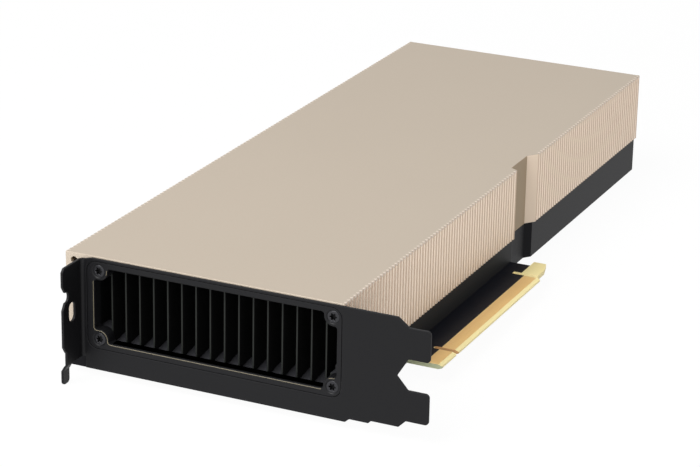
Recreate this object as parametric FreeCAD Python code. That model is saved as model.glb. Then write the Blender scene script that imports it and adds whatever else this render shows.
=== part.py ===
"""Passive dual-slot accelerator card, modelled in millimetres as the real card is assembled.

X runs across the card, from the seating face of the bracket's mounting tab (X = 0) to the edge connector.
Y runs along the card, from the outer face of the bracket plate (Y = 0) to the rear end.
Z runs up from the underside of the base tray (Z = 0), on which the card lies.
"""
import FreeCAD, Part
import math
import os

Vector = FreeCAD.Vector

# ---- Card envelope -------------------------------------------------------------------------------
CARD_LENGTH = 267.7          # outer face of the bracket plate to the rear end
BODY_WIDTH = 96.98
BODY_THICKNESS = 38.5
BODY_OVERHANG = 6.15         # how far the body reaches past the tab's seating face
CONNECTOR_REACH = 14.17      # how far the edge connector stands out of the body's right side
SPLIT_HEIGHT = 13.1          # where the base tray ends and the ribbed cover begins
FIT = 0.1                    # clearance between pieces that slot together
HOLE_CLEARANCE = 0.15        # radial clearance of a screw in a plain hole
THREAD_CLEARANCE = 0.05      # and in a tapped hole

# ---- Cover: ribbed side walls, and the notch that clears the slot's latch --------------------------
RIB_PITCH = 2.16
RIB_DEPTH = 0.8
RIB_CREST = 1.0
COVER_SKIN = 0.6             # wall behind the grooves
COVER_TOP = 1.5
FRONT_WALL = 1.5             # front wall beside the air frame, on the cover and on the tray
NOTCH_START = 140.5
NOTCH_END = 160.5
NOTCH_DEPTH = 2.75
NOTCH_FRONT_RUN = 1.6        # length of the sloped front end of the notch
NOTCH_REAR_RUN = 3.7         # length of the sloped rear end
SIGHT_HOLE_RADIUS = 1.2      # small round hole in the cover's front wall
SIGHT_HOLE_X = -3.1
SIGHT_HOLE_BELOW_TOP = 2.6

# ---- Base tray -----------------------------------------------------------------------------------
TRAY_WALL = 0.6
TRAY_FLOOR = 2.0
RAIL_GAP = 1.0               # from the end of the connector rail to the notch

# ---- Circuit board and its edge connector ----------------------------------------------------------
BOARD_BOTTOM = 3.16
BOARD_THICKNESS = 1.57
BOARD_TOP = BOARD_BOTTOM + BOARD_THICKNESS
BOARD_EDGE_GAP = 0.2
KEY_CENTRE = 57.15           # from the bracket's outer face
KEY_WIDTH = 1.9
KEY_DEPTH = 8.25
SHORT_SEGMENT = 11.65
LONG_SEGMENT = 71.65
BEVEL_LENGTH = 1.3
BEVEL_DEPTH = 0.45
RETENTION_GAP = 2.0          # slot between the long segment and the retention hook
RETENTION_DEPTH = 10.4       # depth of that slot from the connector's edge
HOOK_SETBACK = 1.5           # from the connector's edge to the hook's outer edge
HOOK_WIDTH = 6.1
HOOK_LENGTH = 11.8
HOOK_TAPER = 1.6
HOOK_TAPER_LENGTH = 6.0
HOOK_NECK_LENGTH = 8.0
CONTACT_PITCH = 1.0
CONTACT_WIDTH = 0.7
CONTACT_LENGTH = 4.3
CONTACT_THICKNESS = 0.05
SHORT_CONTACTS = 11
LONG_CONTACTS = 71
KEY_TO_CONTACT = 1.5

# ---- Mounting bracket ------------------------------------------------------------------------------
SHEET = 0.86
PLATE_BOTTOM = 0.3
PLATE_TOP = 38.1
TONGUE_REACH = 28.87         # body's right side to the ends of the tongues
TONGUE_WIDTH = 10.2
TONGUE_RADIUS = 1.3
TONGUE_LENGTH = 7.1
SLOT_PITCH = 20.32
LOWER_TONGUE_Z = 9.84
TONGUE_SHOULDER = 3.7        # slope between the plate's upper edge and the upper tongue
LOWER_SHOULDER = 2.35        # the same below the lower tongue
LOWER_SETBACK = 0.4          # the lower tongue's lower edge starts this much further in
GAP_DEPTH = 10.78            # from the tongues' ends to the point of the gap between them
GAP_VERTEX_DROP = 0.95       # below the middle of the two tongues
STEP_HEIGHT = 1.2            # the plate's lower edge rises in two steps towards the tongues
STEP_RUN = 1.4
SECOND_STEP_HEIGHT = 0.9
SECOND_STEP_X = 12.78        # from the root of the tongues to the second step
CORNER_CUT = 2.6             # slope at the plate's upper corner by the bend
TAB_DEPTH = 11.43
TAB_BOTTOM = 4.2
TAB_TOP = 37.4
BEND_RADIUS = 1.0
TAB_TOP_CORNER = 1.2
TAB_NOTCH_Z = 27.3
TAB_NOTCH_WIDTH = 3.4
TAB_NOTCH_DEPTH = 3.4
TAB_SLOT_Z = 21.4
TAB_SLOT_WIDTH = 3.6
TAB_SLOT_LENGTH = 6.4
TAB_SLOT_INSET = 6.0
LOBE_CORNER = 1.4
LOBE_RISE = 2.2              # height of the sloped corners beside a notch
NECK_DEPTH = 1.8             # set-back of the tab's edge beside the lower notch
JOGGLE_HEIGHT = 2.0
EAR_OFFSET = 1.2             # how far the ear is joggled out of the tab's plane
EAR_WIDTH = 3.9
EAR_INSET = 1.2
EAR_LENGTH = 6.7
EAR_CORNER = 1.3

# ---- Air inlet: bracket window, front frame and vanes ------------------------------------------------
INLET_LEFT = 4.35
INLET_RIGHT_MARGIN = 2.03    # from the inlet to the body's right side
INLET_BOTTOM = 9.85
INLET_TOP = 35.05
INLET_CHAMFER = 0.3
NIB_Z = 17.7                 # small stop on the inlet's right wall
NIB_LENGTH = 2.4
NIB_TIP = 1.2
NIB_PROUD = 0.4
RIM_LEFT = 2.45              # width of the frame's rim on each side of the inlet
RIM_RIGHT = 1.65
RIM_BOTTOM = 2.05
RIM_TOP = 2.0
RIM_RADIUS = 3.4
WINDOW_GAP = 0.15            # gap between the rim and the bracket's window
FRAME_PROUD = 0.05           # how far the rim sits behind the bracket's outer face
FRAME_DEPTH = 4.3
FRAME_LEFT = -0.6
FRAME_BOTTOM = 6.6
FRAME_LIP = 1.2              # depth of the lip along the bottom of the inlet
LIP_RECESS = 2.25
BOSS_RADIUS = 3.15
BOSS_INSET_LEFT = 1.7        # from the inlet's edges to the bosses' centres
BOSS_INSET_RIGHT = 1.3
BOSS_INSET_Z = 1.1
BOSS_BLEND = 0.9
FRAME_SCREW_HEAD = 2.1
FRAME_SCREW_SHANK = 1.1
FRAME_SCREW_LENGTH = 8.0     # from the top of the head to the tip
FRAME_SCREW_RECESS = 0.1
FRAME_HEAD_HEIGHT = 1.1
HEAD_CLEARANCE = 0.2         # radial gap round a countersunk head
VANE_COUNT = 16
VANE_PITCH = 5.0
VANE_THICKNESS = 0.5
VANE_SHIFT = 0.6             # the vanes stand this far left of the inlet's middle
DUCT_LENGTH = 12.4
DUCT_FLOOR_FRONT = 8.5
DUCT_LEFT = 3.0
DUCT_WALL = 0.6
DUCT_ROOF = 0.7
POST_SIZE = 5.2
POST_LENGTH = 6.0            # longer than the screws reach into the duct

# ---- Heat sink -----------------------------------------------------------------------------------
SINK_UNDERSIDE = 8.0
SINK_TOP = 10.3
REAR_SPACE = 17.4            # from the heat sink to the rear frame
SINK_SIDE_GAP = 0.4
FIN_PITCH = 1.8
FIN_THICKNESS = 0.4
FIN_GAP_TO_COVER = 0.2

# ---- Processor and power parts on the board ------------------------------------------------------------
PACKAGE_Y = 120.0
PACKAGE_SIZE = 55.0
PACKAGE_HEIGHT = 1.5
DIE_WIDTH = 26.0
DIE_LENGTH = 32.0
DIE_HEIGHT = 0.8
MEMORY_WIDTH = 8.0
MEMORY_LENGTH = 10.0
MEMORY_GAP = 0.6
STIFFENER_BAND = 3.0
STIFFENER_HEIGHT = 0.5
PEDESTAL_SIZE = 46.0
INDUCTOR_SIZE = 7.0
INDUCTOR_HEIGHT = 2.8
INDUCTOR_PITCH = 9.0
INDUCTORS_PER_ROW = 10
INDUCTOR_SHIFT = 0.02        # each row stands this much nearer the package than midway to the wall
PAD_SIZE = 6.0
CAPACITOR_LENGTH = 7.3
CAPACITOR_WIDTH = 4.3
CAPACITOR_HEIGHT = 2.6
CAPACITOR_PITCH = 8.0
CAPACITORS = 7
CAPACITOR_INSET = 22.0       # from the heat sink's rear end to the row

# ---- Standoffs and the screws that enter from below ----------------------------------------------------
STANDOFF_SIZE = 4.8          # across the corners of the hexagon
STANDOFF_INSET_X = 9.0       # from the body's sides to the board's standoffs
STANDOFF_FRONT = 30.0
STANDOFF_REAR = 12.0         # from the heat sink's rear end
SCREW_HEAD = 1.9
SCREW_SHANK = 1.1
COUNTERSINK_DEPTH = 0.9
SCREW_RECESS = 0.1
TRAY_SCREW_LENGTH = 6.0
TRAY_SCREW_INSET = 22.0      # from the body's right side, and from the power connector
CLAMP_SCREW_GAP = 4.0        # from the package's sides to the axis of each clamp screw
CLAMP_HEAD_SIZE = 4.0        # across the corners of the hexagon head
CLAMP_HEAD_HEIGHT = 0.9
SCREW_TIP_GAP = 0.4

# ---- Rear frame and power connector ---------------------------------------------------------------------
REAR_DEPTH = 4.3
OUTLET_MARGIN_LEFT = 5.2
OUTLET_MARGIN_RIGHT = 3.6
OUTLET_STEP = 1.0            # rim left beside and above the power connector
EXTENDER_HOLE = 1.25
EXTENDER_HOLE_DEPTH = 3.6
EXTENDER_LOWER_Z = 20.5
EXTENDER_SPACING = 11.5
PLUG_CELLS = 4
PLUG_CELL_PITCH = 4.2
PLUG_CELL = 3.3
PLUG_WALL = 0.85
PLUG_ROWS = 2
PLUG_INSET = 3.5             # from the body's left side
PLUG_LENGTH = 13.5
PLUG_SOCKET_DEPTH = 10.0
PIN_SIZE = 1.0
PIN_END_GAP = 2.0
LATCH_WIDTH = 4.0
LATCH_HEIGHT = 1.2


# ---- Helpers ---------------------------------------------------------------------------------------
def box(x0, x1, y0, y1, z0, z1):
    """A block given by its limits on each axis."""
    return Part.makeBox(x1 - x0, y1 - y0, z1 - z0, Vector(x0, y0, z0))


def prism(points, shift):
    """A closed outline of 3-D points, swept along the vector shift."""
    loop = Part.makePolygon([Vector(*p) for p in points] + [Vector(*points[0])])
    return Part.Face(loop).extrude(Vector(*shift))


def prism_z(points, z0, z1):
    """An outline of (x, y) points, between two heights."""
    return prism([(x, y, z0) for x, y in points], (0, 0, z1 - z0))


def prism_y(points, y0, y1):
    """An outline of (x, z) points, between two places along the card."""
    return prism([(x, y0, z) for x, z in points], (0, y1 - y0, 0))


def rod_y(x, z, radius, y0, y1):
    return Part.makeCylinder(radius, y1 - y0, Vector(x, y0, z), Vector(0, 1, 0))


def cone_y(x, z, front_radius, rear_radius, y0, y1):
    return Part.makeCone(front_radius, rear_radius, y1 - y0, Vector(x, y0, z), Vector(0, 1, 0))


def rod_z(x, y, radius, z0, z1):
    return Part.makeCylinder(radius, z1 - z0, Vector(x, y, z0), Vector(0, 0, 1))


def edges_along(shape, axis, wanted):
    """Straight edges parallel to an axis (0, 1 or 2) whose middle passes the test."""
    found = []
    for edge in shape.Edges:
        ends = [v.Point for v in edge.Vertexes]
        if len(ends) != 2 or not isinstance(edge.Curve, Part.Line):
            continue
        step = ends[1] - ends[0]
        if abs(step[axis]) > 0.999 * step.Length and wanted((ends[0] + ends[1]) * 0.5):
            found.append(edge)
    return found


def hexagon_post(x, y, size, z0, z1):
    """A hexagonal post, its size taken across the corners."""
    corners = [(x + size / 2 * math.cos(i * math.pi / 3), y + size / 2 * math.sin(i * math.pi / 3))
               for i in range(6)]
    return prism_z(corners, z0, z1)


def cone_z(x, y, lower_radius, upper_radius, z0, z1):
    return Part.makeCone(lower_radius, upper_radius, z1 - z0, Vector(x, y, z0))


def rounded_plate_y(x0, x1, z0, z1, radius, y0, y1):
    """A block with its four edges along Y rounded."""
    block = box(x0, x1, y0, y1, z0, z1)
    return block.makeFillet(radius, edges_along(block, 1, lambda p: True))


def save(name, shape):
    shape.exportStep(os.path.join("parts", name + ".step"))


# ---- Places shared by several pieces ---------------------------------------------------------------------
BODY_LEFT = -BODY_OVERHANG
BODY_RIGHT = BODY_LEFT + BODY_WIDTH
CONNECTOR_EDGE_X = BODY_RIGHT + CONNECTOR_REACH
BRACKET_REACH = BODY_RIGHT + TONGUE_REACH
INLET_RIGHT = BODY_RIGHT - INLET_RIGHT_MARGIN
GROOVE_LEFT = BODY_LEFT + RIB_DEPTH
GROOVE_RIGHT = BODY_RIGHT - RIB_DEPTH
COVER_INNER_LEFT = GROOVE_LEFT + COVER_SKIN
COVER_INNER_RIGHT = GROOVE_RIGHT - COVER_SKIN
COVER_INNER_TOP = BODY_THICKNESS - COVER_TOP
TRAY_INNER_LEFT = GROOVE_LEFT + TRAY_WALL
TRAY_INNER_RIGHT = GROOVE_RIGHT - TRAY_WALL
NOTCH_FLOOR_X = BODY_RIGHT - NOTCH_DEPTH
BODY_FRONT = SHEET
FRAME_REAR = FRAME_DEPTH
INNER_LEFT = GROOVE_LEFT + max(COVER_SKIN, TRAY_WALL)
INNER_RIGHT = GROOVE_RIGHT - max(COVER_SKIN, TRAY_WALL)
INNER_NOTCH_X = NOTCH_FLOOR_X - max(COVER_SKIN, TRAY_WALL)
FRAME_RIGHT = INNER_RIGHT - FIT
FRAME_TOP = COVER_INNER_TOP - FIT
DUCT_RIGHT = FRAME_RIGHT
RAIL_END = NOTCH_START - RAIL_GAP
REAR_FRAME_FRONT = CARD_LENGTH - REAR_DEPTH
TONGUE_FRONT = KEY_CENTRE - KEY_WIDTH / 2 - SHORT_SEGMENT
LONG_END = KEY_CENTRE + KEY_WIDTH / 2 + LONG_SEGMENT
HOOK_START = LONG_END + RETENTION_GAP
HOOK_NECK_END = HOOK_START + HOOK_NECK_LENGTH
DUCT_END = FRAME_REAR + DUCT_LENGTH
SINK_START = DUCT_END + FIT
SINK_END = REAR_FRAME_FRONT - REAR_SPACE
PACKAGE_X = (BODY_LEFT + BODY_RIGHT) / 2
CLAMP_SCREW_OFFSET = PACKAGE_SIZE / 2 + CLAMP_SCREW_GAP
POST_REACH = CLAMP_SCREW_OFFSET + STANDOFF_SIZE / 2
INDUCTOR_OFFSET = (POST_REACH + INNER_NOTCH_X - PACKAGE_X) / 2 - INDUCTOR_SHIFT
SINK_LEFT = INNER_LEFT + SINK_SIDE_GAP
SINK_RIGHT = INNER_NOTCH_X - SINK_SIDE_GAP
BOSS_XS = (INLET_LEFT + BOSS_INSET_LEFT, INLET_RIGHT - BOSS_INSET_RIGHT)
BOSS_ZS = (INLET_BOTTOM + BOSS_INSET_Z, INLET_TOP - BOSS_INSET_Z)
BOSSES = [(x, z) for x in BOSS_XS for z in BOSS_ZS]
PLUG_WIDTH = PLUG_CELLS * PLUG_CELL_PITCH + 2 * PLUG_WALL
PLUG_HEIGHT = PLUG_ROWS * PLUG_CELL_PITCH + 2 * PLUG_WALL
PLUG_LEFT = BODY_LEFT + PLUG_INSET
PLUG_RIGHT = PLUG_LEFT + PLUG_WIDTH
PLUG_TOP = BOARD_TOP + PLUG_HEIGHT
OUTLET_STEP_X = PLUG_RIGHT + OUTLET_STEP
OUTLET_STEP_Z = PLUG_TOP + LATCH_HEIGHT + OUTLET_STEP
TRAY_SCREW_PLACES = [(x, REAR_FRAME_FRONT + REAR_DEPTH / 2)
                     for x in (PLUG_RIGHT + TRAY_SCREW_INSET, BODY_RIGHT - TRAY_SCREW_INSET)]
STANDOFF_PLACES = [(x, y) for x in (BODY_LEFT + STANDOFF_INSET_X, BODY_RIGHT - STANDOFF_INSET_X)
                   for y in (STANDOFF_FRONT, SINK_END - STANDOFF_REAR)]
CLAMP_PLACES = [(PACKAGE_X + i * CLAMP_SCREW_OFFSET, PACKAGE_Y + j * CLAMP_SCREW_OFFSET)
                for i in (-1, 1) for j in (-1, 1)]


def notch_line(x_face, x_floor, inward):
    """The four corners of the latch notch, front to rear, moved inward into the card by a wall."""
    def front(x):
        return NOTCH_START + NOTCH_FRONT_RUN * (BODY_RIGHT - x) / NOTCH_DEPTH - inward

    def rear(x):
        return NOTCH_END - NOTCH_REAR_RUN * (BODY_RIGHT - x) / NOTCH_DEPTH + inward

    return [(x_face, front(x_face)), (x_floor, front(x_floor)),
            (x_floor, rear(x_floor)), (x_face, rear(x_face))]


def plain_outline(x_left, x_right, x_floor, y_front, y_rear, inward=0.0):
    """Plan outline of the body with the latch notch in its right side."""
    notch = notch_line(x_right, x_floor, inward)
    return [(x_left, y_front), (x_right, y_front)] + notch + [(x_right, y_rear), (x_left, y_rear)]


def ribbed_run(x_crest, x_groove, y_start, y_end):
    """Points along one ribbed wall: flat crests with V grooves between them, sharing the run equally."""
    count = max(1, round((y_end - y_start - RIB_CREST) / RIB_PITCH))
    pitch = (y_end - y_start - RIB_CREST) / count
    points = []
    for i in range(count):
        y = y_start + i * pitch
        points += [(x_crest, y), (x_crest, y + RIB_CREST), (x_groove, y + (pitch + RIB_CREST) / 2)]
    return points + [(x_crest, y_end - RIB_CREST), (x_crest, y_end)]


# ---- Cover, tray and rail --------------------------------------------------------------------------
def make_top_cover():
    notch = notch_line(BODY_RIGHT, NOTCH_FLOOR_X, 0.0)
    right_side = (ribbed_run(BODY_RIGHT, GROOVE_RIGHT, BODY_FRONT, notch[0][1]) + notch
                  + ribbed_run(BODY_RIGHT, GROOVE_RIGHT, notch[3][1], CARD_LENGTH))
    left_side = ribbed_run(BODY_LEFT, GROOVE_LEFT, BODY_FRONT, CARD_LENGTH)
    outline = right_side + left_side[::-1]
    cleaned = [p for i, p in enumerate(outline) if p != outline[i - 1]]
    cover = prism_z(cleaned, SPLIT_HEIGHT, BODY_THICKNESS)
    cavity = plain_outline(COVER_INNER_LEFT, COVER_INNER_RIGHT, NOTCH_FLOOR_X - COVER_SKIN,
                           BODY_FRONT, CARD_LENGTH, inward=COVER_SKIN)
    cover = cover.cut(prism_z(cavity, SPLIT_HEIGHT, COVER_INNER_TOP))
    front_wall = box(GROOVE_LEFT, FRAME_LEFT - FIT, BODY_FRONT, BODY_FRONT + FRONT_WALL,
                     SPLIT_HEIGHT, COVER_INNER_TOP + COVER_TOP / 2)
    cover = cover.fuse(front_wall)
    sight_hole = rod_y(SIGHT_HOLE_X, BODY_THICKNESS - SIGHT_HOLE_BELOW_TOP, SIGHT_HOLE_RADIUS,
                       BODY_FRONT, BODY_FRONT + FRONT_WALL)
    return cover.cut(sight_hole).removeSplitter()


def make_base_tray():
    outer = plain_outline(GROOVE_LEFT, GROOVE_RIGHT, NOTCH_FLOOR_X, BODY_FRONT, CARD_LENGTH)
    tray = prism_z(outer, 0.0, SPLIT_HEIGHT)
    pocket = plain_outline(TRAY_INNER_LEFT, TRAY_INNER_RIGHT, NOTCH_FLOOR_X - TRAY_WALL,
                           BODY_FRONT + FRONT_WALL, CARD_LENGTH, inward=TRAY_WALL)
    tray = tray.cut(prism_z(pocket, TRAY_FLOOR, SPLIT_HEIGHT))
    under_frame = box(FRAME_LEFT - FIT, FRAME_RIGHT + FIT, BODY_FRONT, FRAME_REAR,
                      FRAME_BOTTOM, SPLIT_HEIGHT)
    rail_seat = box(TRAY_INNER_RIGHT - FIT, GROOVE_RIGHT, BODY_FRONT, RAIL_END, BOARD_TOP, SPLIT_HEIGHT)
    board_slot = box(TRAY_INNER_RIGHT - FIT, GROOVE_RIGHT, TONGUE_FRONT - FIT, HOOK_NECK_END + FIT,
                     BOARD_BOTTOM, BOARD_TOP)
    tray = tray.cut([under_frame, rail_seat, board_slot])
    for x, y in TRAY_SCREW_PLACES:
        tray = tray.cut(rod_z(x, y, SCREW_SHANK + HOLE_CLEARANCE, 0.0, TRAY_FLOOR))
        tray = tray.cut(cone_z(x, y, SCREW_HEAD + HEAD_CLEARANCE, SCREW_SHANK + HOLE_CLEARANCE,
                               0.0, SCREW_RECESS + COUNTERSINK_DEPTH))
    return tray


def make_connector_rail():
    """The wall that stands on the board above the edge connector, up to the cover."""
    return box(TRAY_INNER_RIGHT, GROOVE_RIGHT, BODY_FRONT, RAIL_END, BOARD_TOP, SPLIT_HEIGHT)


# ---- Mounting bracket ------------------------------------------------------------------------------
def plate_outline():
    """Front view of the bracket plate as (x, z), from its lower left corner."""
    upper_z = LOWER_TONGUE_Z + SLOT_PITCH
    half = TONGUE_WIDTH / 2
    root = BRACKET_REACH - TONGUE_LENGTH
    lower_root = root - LOWER_SETBACK
    vertex_z = (LOWER_TONGUE_Z + upper_z) / 2 - GAP_VERTEX_DROP
    step_z = PLATE_BOTTOM + STEP_HEIGHT
    second_z = step_z + SECOND_STEP_HEIGHT
    step_x = BODY_RIGHT + STEP_HEIGHT
    second_x = root - SECOND_STEP_X
    return [(BEND_RADIUS, PLATE_BOTTOM), (step_x, PLATE_BOTTOM), (step_x + STEP_RUN, step_z),
            (second_x, step_z), (second_x + SECOND_STEP_HEIGHT, second_z),
            (lower_root - LOWER_SHOULDER, second_z), (lower_root, LOWER_TONGUE_Z - half),
            (BRACKET_REACH, LOWER_TONGUE_Z - half), (BRACKET_REACH, LOWER_TONGUE_Z + half),
            (root, LOWER_TONGUE_Z + half), (BRACKET_REACH - GAP_DEPTH, vertex_z),
            (root, upper_z - half), (BRACKET_REACH, upper_z - half),
            (BRACKET_REACH, upper_z + half), (root, upper_z + half), (root - TONGUE_SHOULDER, PLATE_TOP),
            (BEND_RADIUS + CORNER_CUT, PLATE_TOP), (BEND_RADIUS, TAB_TOP)]


def make_bracket_plate():
    plate = prism_y(plate_outline(), 0.0, SHEET)
    tips = edges_along(plate, 1, lambda p: p.x > BRACKET_REACH - 0.01)
    plate = plate.makeFillet(TONGUE_RADIUS, tips)
    window = rounded_plate_y(INLET_LEFT - RIM_LEFT - WINDOW_GAP, INLET_RIGHT + RIM_RIGHT + WINDOW_GAP,
                             INLET_BOTTOM - RIM_BOTTOM - WINDOW_GAP, INLET_TOP + RIM_TOP + WINDOW_GAP,
                             RIM_RADIUS + WINDOW_GAP, 0.0, SHEET)
    return plate.cut(window)


def tab_outline():
    """Side view of the tab as (y, z): two lobes with a screw notch between them, and a neck for the ear."""
    edge = -TAB_DEPTH
    notch_top = TAB_NOTCH_Z + TAB_NOTCH_WIDTH / 2
    notch_low = TAB_NOTCH_Z - TAB_NOTCH_WIDTH / 2
    lobe_low = notch_top - SLOT_PITCH
    neck = edge + NECK_DEPTH
    return [(-BEND_RADIUS, TAB_TOP), (edge + TAB_TOP_CORNER, TAB_TOP), (edge, TAB_TOP - TAB_TOP_CORNER),
            (edge, notch_top + LOBE_RISE), (edge + LOBE_CORNER, notch_top),
            (edge + TAB_NOTCH_DEPTH, notch_top), (edge + TAB_NOTCH_DEPTH, notch_low),
            (edge + LOBE_CORNER, notch_low), (edge, notch_low - LOBE_RISE),
            (edge, lobe_low + LOBE_RISE), (edge + LOBE_CORNER, lobe_low),
            (neck, lobe_low), (neck, TAB_BOTTOM), (-BEND_RADIUS, TAB_BOTTOM)]


def make_bracket_tab():
    points = [(-SHEET, y, z) for y, z in tab_outline()]
    tab = prism(points, (SHEET, 0, 0))
    inner = -TAB_DEPTH + TAB_NOTCH_DEPTH
    tab = tab.makeFillet(TAB_NOTCH_WIDTH * 0.45, edges_along(tab, 0, lambda p: abs(p.y - inner) < 0.01))
    half = (TAB_SLOT_LENGTH - TAB_SLOT_WIDTH) / 2
    slot = box(-SHEET, 0, -TAB_SLOT_INSET - TAB_SLOT_WIDTH / 2, -TAB_SLOT_INSET + TAB_SLOT_WIDTH / 2,
               TAB_SLOT_Z - half, TAB_SLOT_Z + half)
    for z in (TAB_SLOT_Z - half, TAB_SLOT_Z + half):
        end = Part.makeCylinder(TAB_SLOT_WIDTH / 2, SHEET, Vector(-SHEET, -TAB_SLOT_INSET, z),
                                Vector(1, 0, 0))
        slot = slot.fuse(end)
    return tab.cut(slot)


def make_bracket_bend():
    """The quarter-round bend that joins the tab to the plate."""
    outer = Part.makeCylinder(BEND_RADIUS + SHEET, TAB_TOP - TAB_BOTTOM,
                              Vector(BEND_RADIUS, -BEND_RADIUS, TAB_BOTTOM))
    inner = Part.makeCylinder(BEND_RADIUS, TAB_TOP - TAB_BOTTOM,
                              Vector(BEND_RADIUS, -BEND_RADIUS, TAB_BOTTOM))
    quarter = box(-SHEET, BEND_RADIUS, -BEND_RADIUS, SHEET, TAB_BOTTOM, TAB_TOP)
    return outer.cut(inner).common(quarter)


def make_bracket_ear():
    """The joggled ear below the tab, which slips behind the next bracket's tab."""
    bend_z = TAB_BOTTOM - JOGGLE_HEIGHT
    low = TAB_BOTTOM - EAR_LENGTH
    profile = [(-SHEET, TAB_BOTTOM), (0.0, TAB_BOTTOM), (-EAR_OFFSET, bend_z), (-EAR_OFFSET, low),
               (-EAR_OFFSET - SHEET, low), (-EAR_OFFSET - SHEET, bend_z)]
    y0 = -TAB_DEPTH + EAR_INSET
    ear = prism_y(profile, y0, y0 + EAR_WIDTH)
    return ear.makeFillet(EAR_CORNER, edges_along(ear, 0, lambda p: abs(p.z - low) < 0.01))


def make_mounting_bracket():
    bracket = make_bracket_plate().fuse([make_bracket_bend(), make_bracket_tab(), make_bracket_ear()])
    return bracket.removeSplitter()


# ---- Air inlet -------------------------------------------------------------------------------------
def inlet_cutter(y0, y1):
    """The inlet's opening: a rectangle with a rounded screw boss standing into each corner."""
    opening = box(INLET_LEFT, INLET_RIGHT, y0, y1, INLET_BOTTOM, INLET_TOP)
    opening = opening.cut([rod_y(x, z, BOSS_RADIUS, y0, y1) for x, z in BOSSES])
    opening = opening.makeFillet(BOSS_BLEND, edges_along(opening, 1, lambda p: True))
    nib = prism_y([(INLET_RIGHT, NIB_Z - NIB_LENGTH / 2), (INLET_RIGHT, NIB_Z + NIB_LENGTH / 2),
                   (INLET_RIGHT - NIB_PROUD, NIB_Z + NIB_TIP / 2),
                   (INLET_RIGHT - NIB_PROUD, NIB_Z - NIB_TIP / 2)], y0, y1)
    return opening.cut(nib)


def make_front_frame():
    rim = rounded_plate_y(INLET_LEFT - RIM_LEFT, INLET_RIGHT + RIM_RIGHT, INLET_BOTTOM - RIM_BOTTOM,
                          INLET_TOP + RIM_TOP, RIM_RADIUS, FRAME_PROUD, BODY_FRONT)
    body = box(FRAME_LEFT, FRAME_RIGHT, BODY_FRONT, FRAME_REAR, FRAME_BOTTOM, FRAME_TOP)
    frame = rim.fuse(body).removeSplitter().cut(inlet_cutter(FRAME_PROUD, FRAME_REAR))
    front_edges = [e for e in frame.Edges
                   if abs(e.BoundBox.YMax - FRAME_PROUD) < 1e-4 and
                   e.BoundBox.XMin > INLET_LEFT - 0.01 and e.BoundBox.XMax < INLET_RIGHT + 0.01 and
                   e.BoundBox.ZMin > INLET_BOTTOM - 0.01 and e.BoundBox.ZMax < INLET_TOP + 0.01]
    frame = frame.makeChamfer(INLET_CHAMFER, front_edges)
    margin = BOSS_RADIUS + BOSS_BLEND
    recess = box(BOSS_XS[0] + margin, BOSS_XS[1] - margin, FRAME_PROUD + FRAME_LIP, FRAME_REAR,
                 INLET_BOTTOM - LIP_RECESS, INLET_BOTTOM)
    frame = frame.cut(recess)
    for x, z in BOSSES:
        head = FRAME_PROUD + FRAME_SCREW_RECESS + FRAME_HEAD_HEIGHT
        frame = frame.cut(cone_y(x, z, FRAME_SCREW_HEAD + HEAD_CLEARANCE,
                                 FRAME_SCREW_SHANK + HOLE_CLEARANCE, FRAME_PROUD, head))
        frame = frame.cut(rod_y(x, z, FRAME_SCREW_SHANK + HOLE_CLEARANCE, FRAME_PROUD, FRAME_REAR))
    return frame


def make_frame_screw(x, z):
    """A countersunk screw that enters along Y, with its flat head just under the frame's face."""
    top = FRAME_PROUD + FRAME_SCREW_RECESS
    neck = top + FRAME_HEAD_HEIGHT
    head = cone_y(x, z, FRAME_SCREW_HEAD, FRAME_SCREW_SHANK, top, neck)
    return head.fuse(rod_y(x, z, FRAME_SCREW_SHANK, neck, top + FRAME_SCREW_LENGTH))


def make_front_frame_screws():
    return Part.makeCompound([make_frame_screw(x, z) for x, z in BOSSES])


def make_inlet_vanes():
    """The vaned duct behind the frame: ramped floor, roof, side walls, vanes and screw posts."""
    floor = prism([(DUCT_LEFT, FRAME_REAR, FRAME_BOTTOM), (DUCT_LEFT, DUCT_END, FRAME_BOTTOM),
                   (DUCT_LEFT, DUCT_END, SINK_TOP), (DUCT_LEFT, FRAME_REAR, DUCT_FLOOR_FRONT)],
                  (DUCT_RIGHT - DUCT_LEFT, 0, 0))
    roof = box(DUCT_LEFT, DUCT_RIGHT, FRAME_REAR, DUCT_END, FRAME_TOP - DUCT_ROOF, FRAME_TOP)
    walls = [box(x, x + DUCT_WALL, FRAME_REAR, DUCT_END, FRAME_BOTTOM, FRAME_TOP)
             for x in (DUCT_LEFT, DUCT_RIGHT - DUCT_WALL)]
    middle = (INLET_LEFT + INLET_RIGHT) / 2 - VANE_SHIFT
    first = middle - VANE_PITCH * (VANE_COUNT - 1) / 2 - VANE_THICKNESS / 2
    vanes = [box(first + i * VANE_PITCH, first + i * VANE_PITCH + VANE_THICKNESS,
                 FRAME_REAR, DUCT_END, FRAME_BOTTOM, FRAME_TOP) for i in range(VANE_COUNT)]
    half = POST_SIZE / 2
    posts = [box(max(x - half, DUCT_LEFT), min(x + half, DUCT_RIGHT), FRAME_REAR, FRAME_REAR + POST_LENGTH,
                 max(z - half, FRAME_BOTTOM), min(z + half, FRAME_TOP)) for x, z in BOSSES]
    duct = floor.fuse([roof] + walls + vanes + posts).removeSplitter()
    bores = [rod_y(x, z, FRAME_SCREW_SHANK + THREAD_CLEARANCE, FRAME_REAR, FRAME_REAR + POST_LENGTH)
             for x, z in BOSSES]
    return duct.cut(bores)


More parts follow.
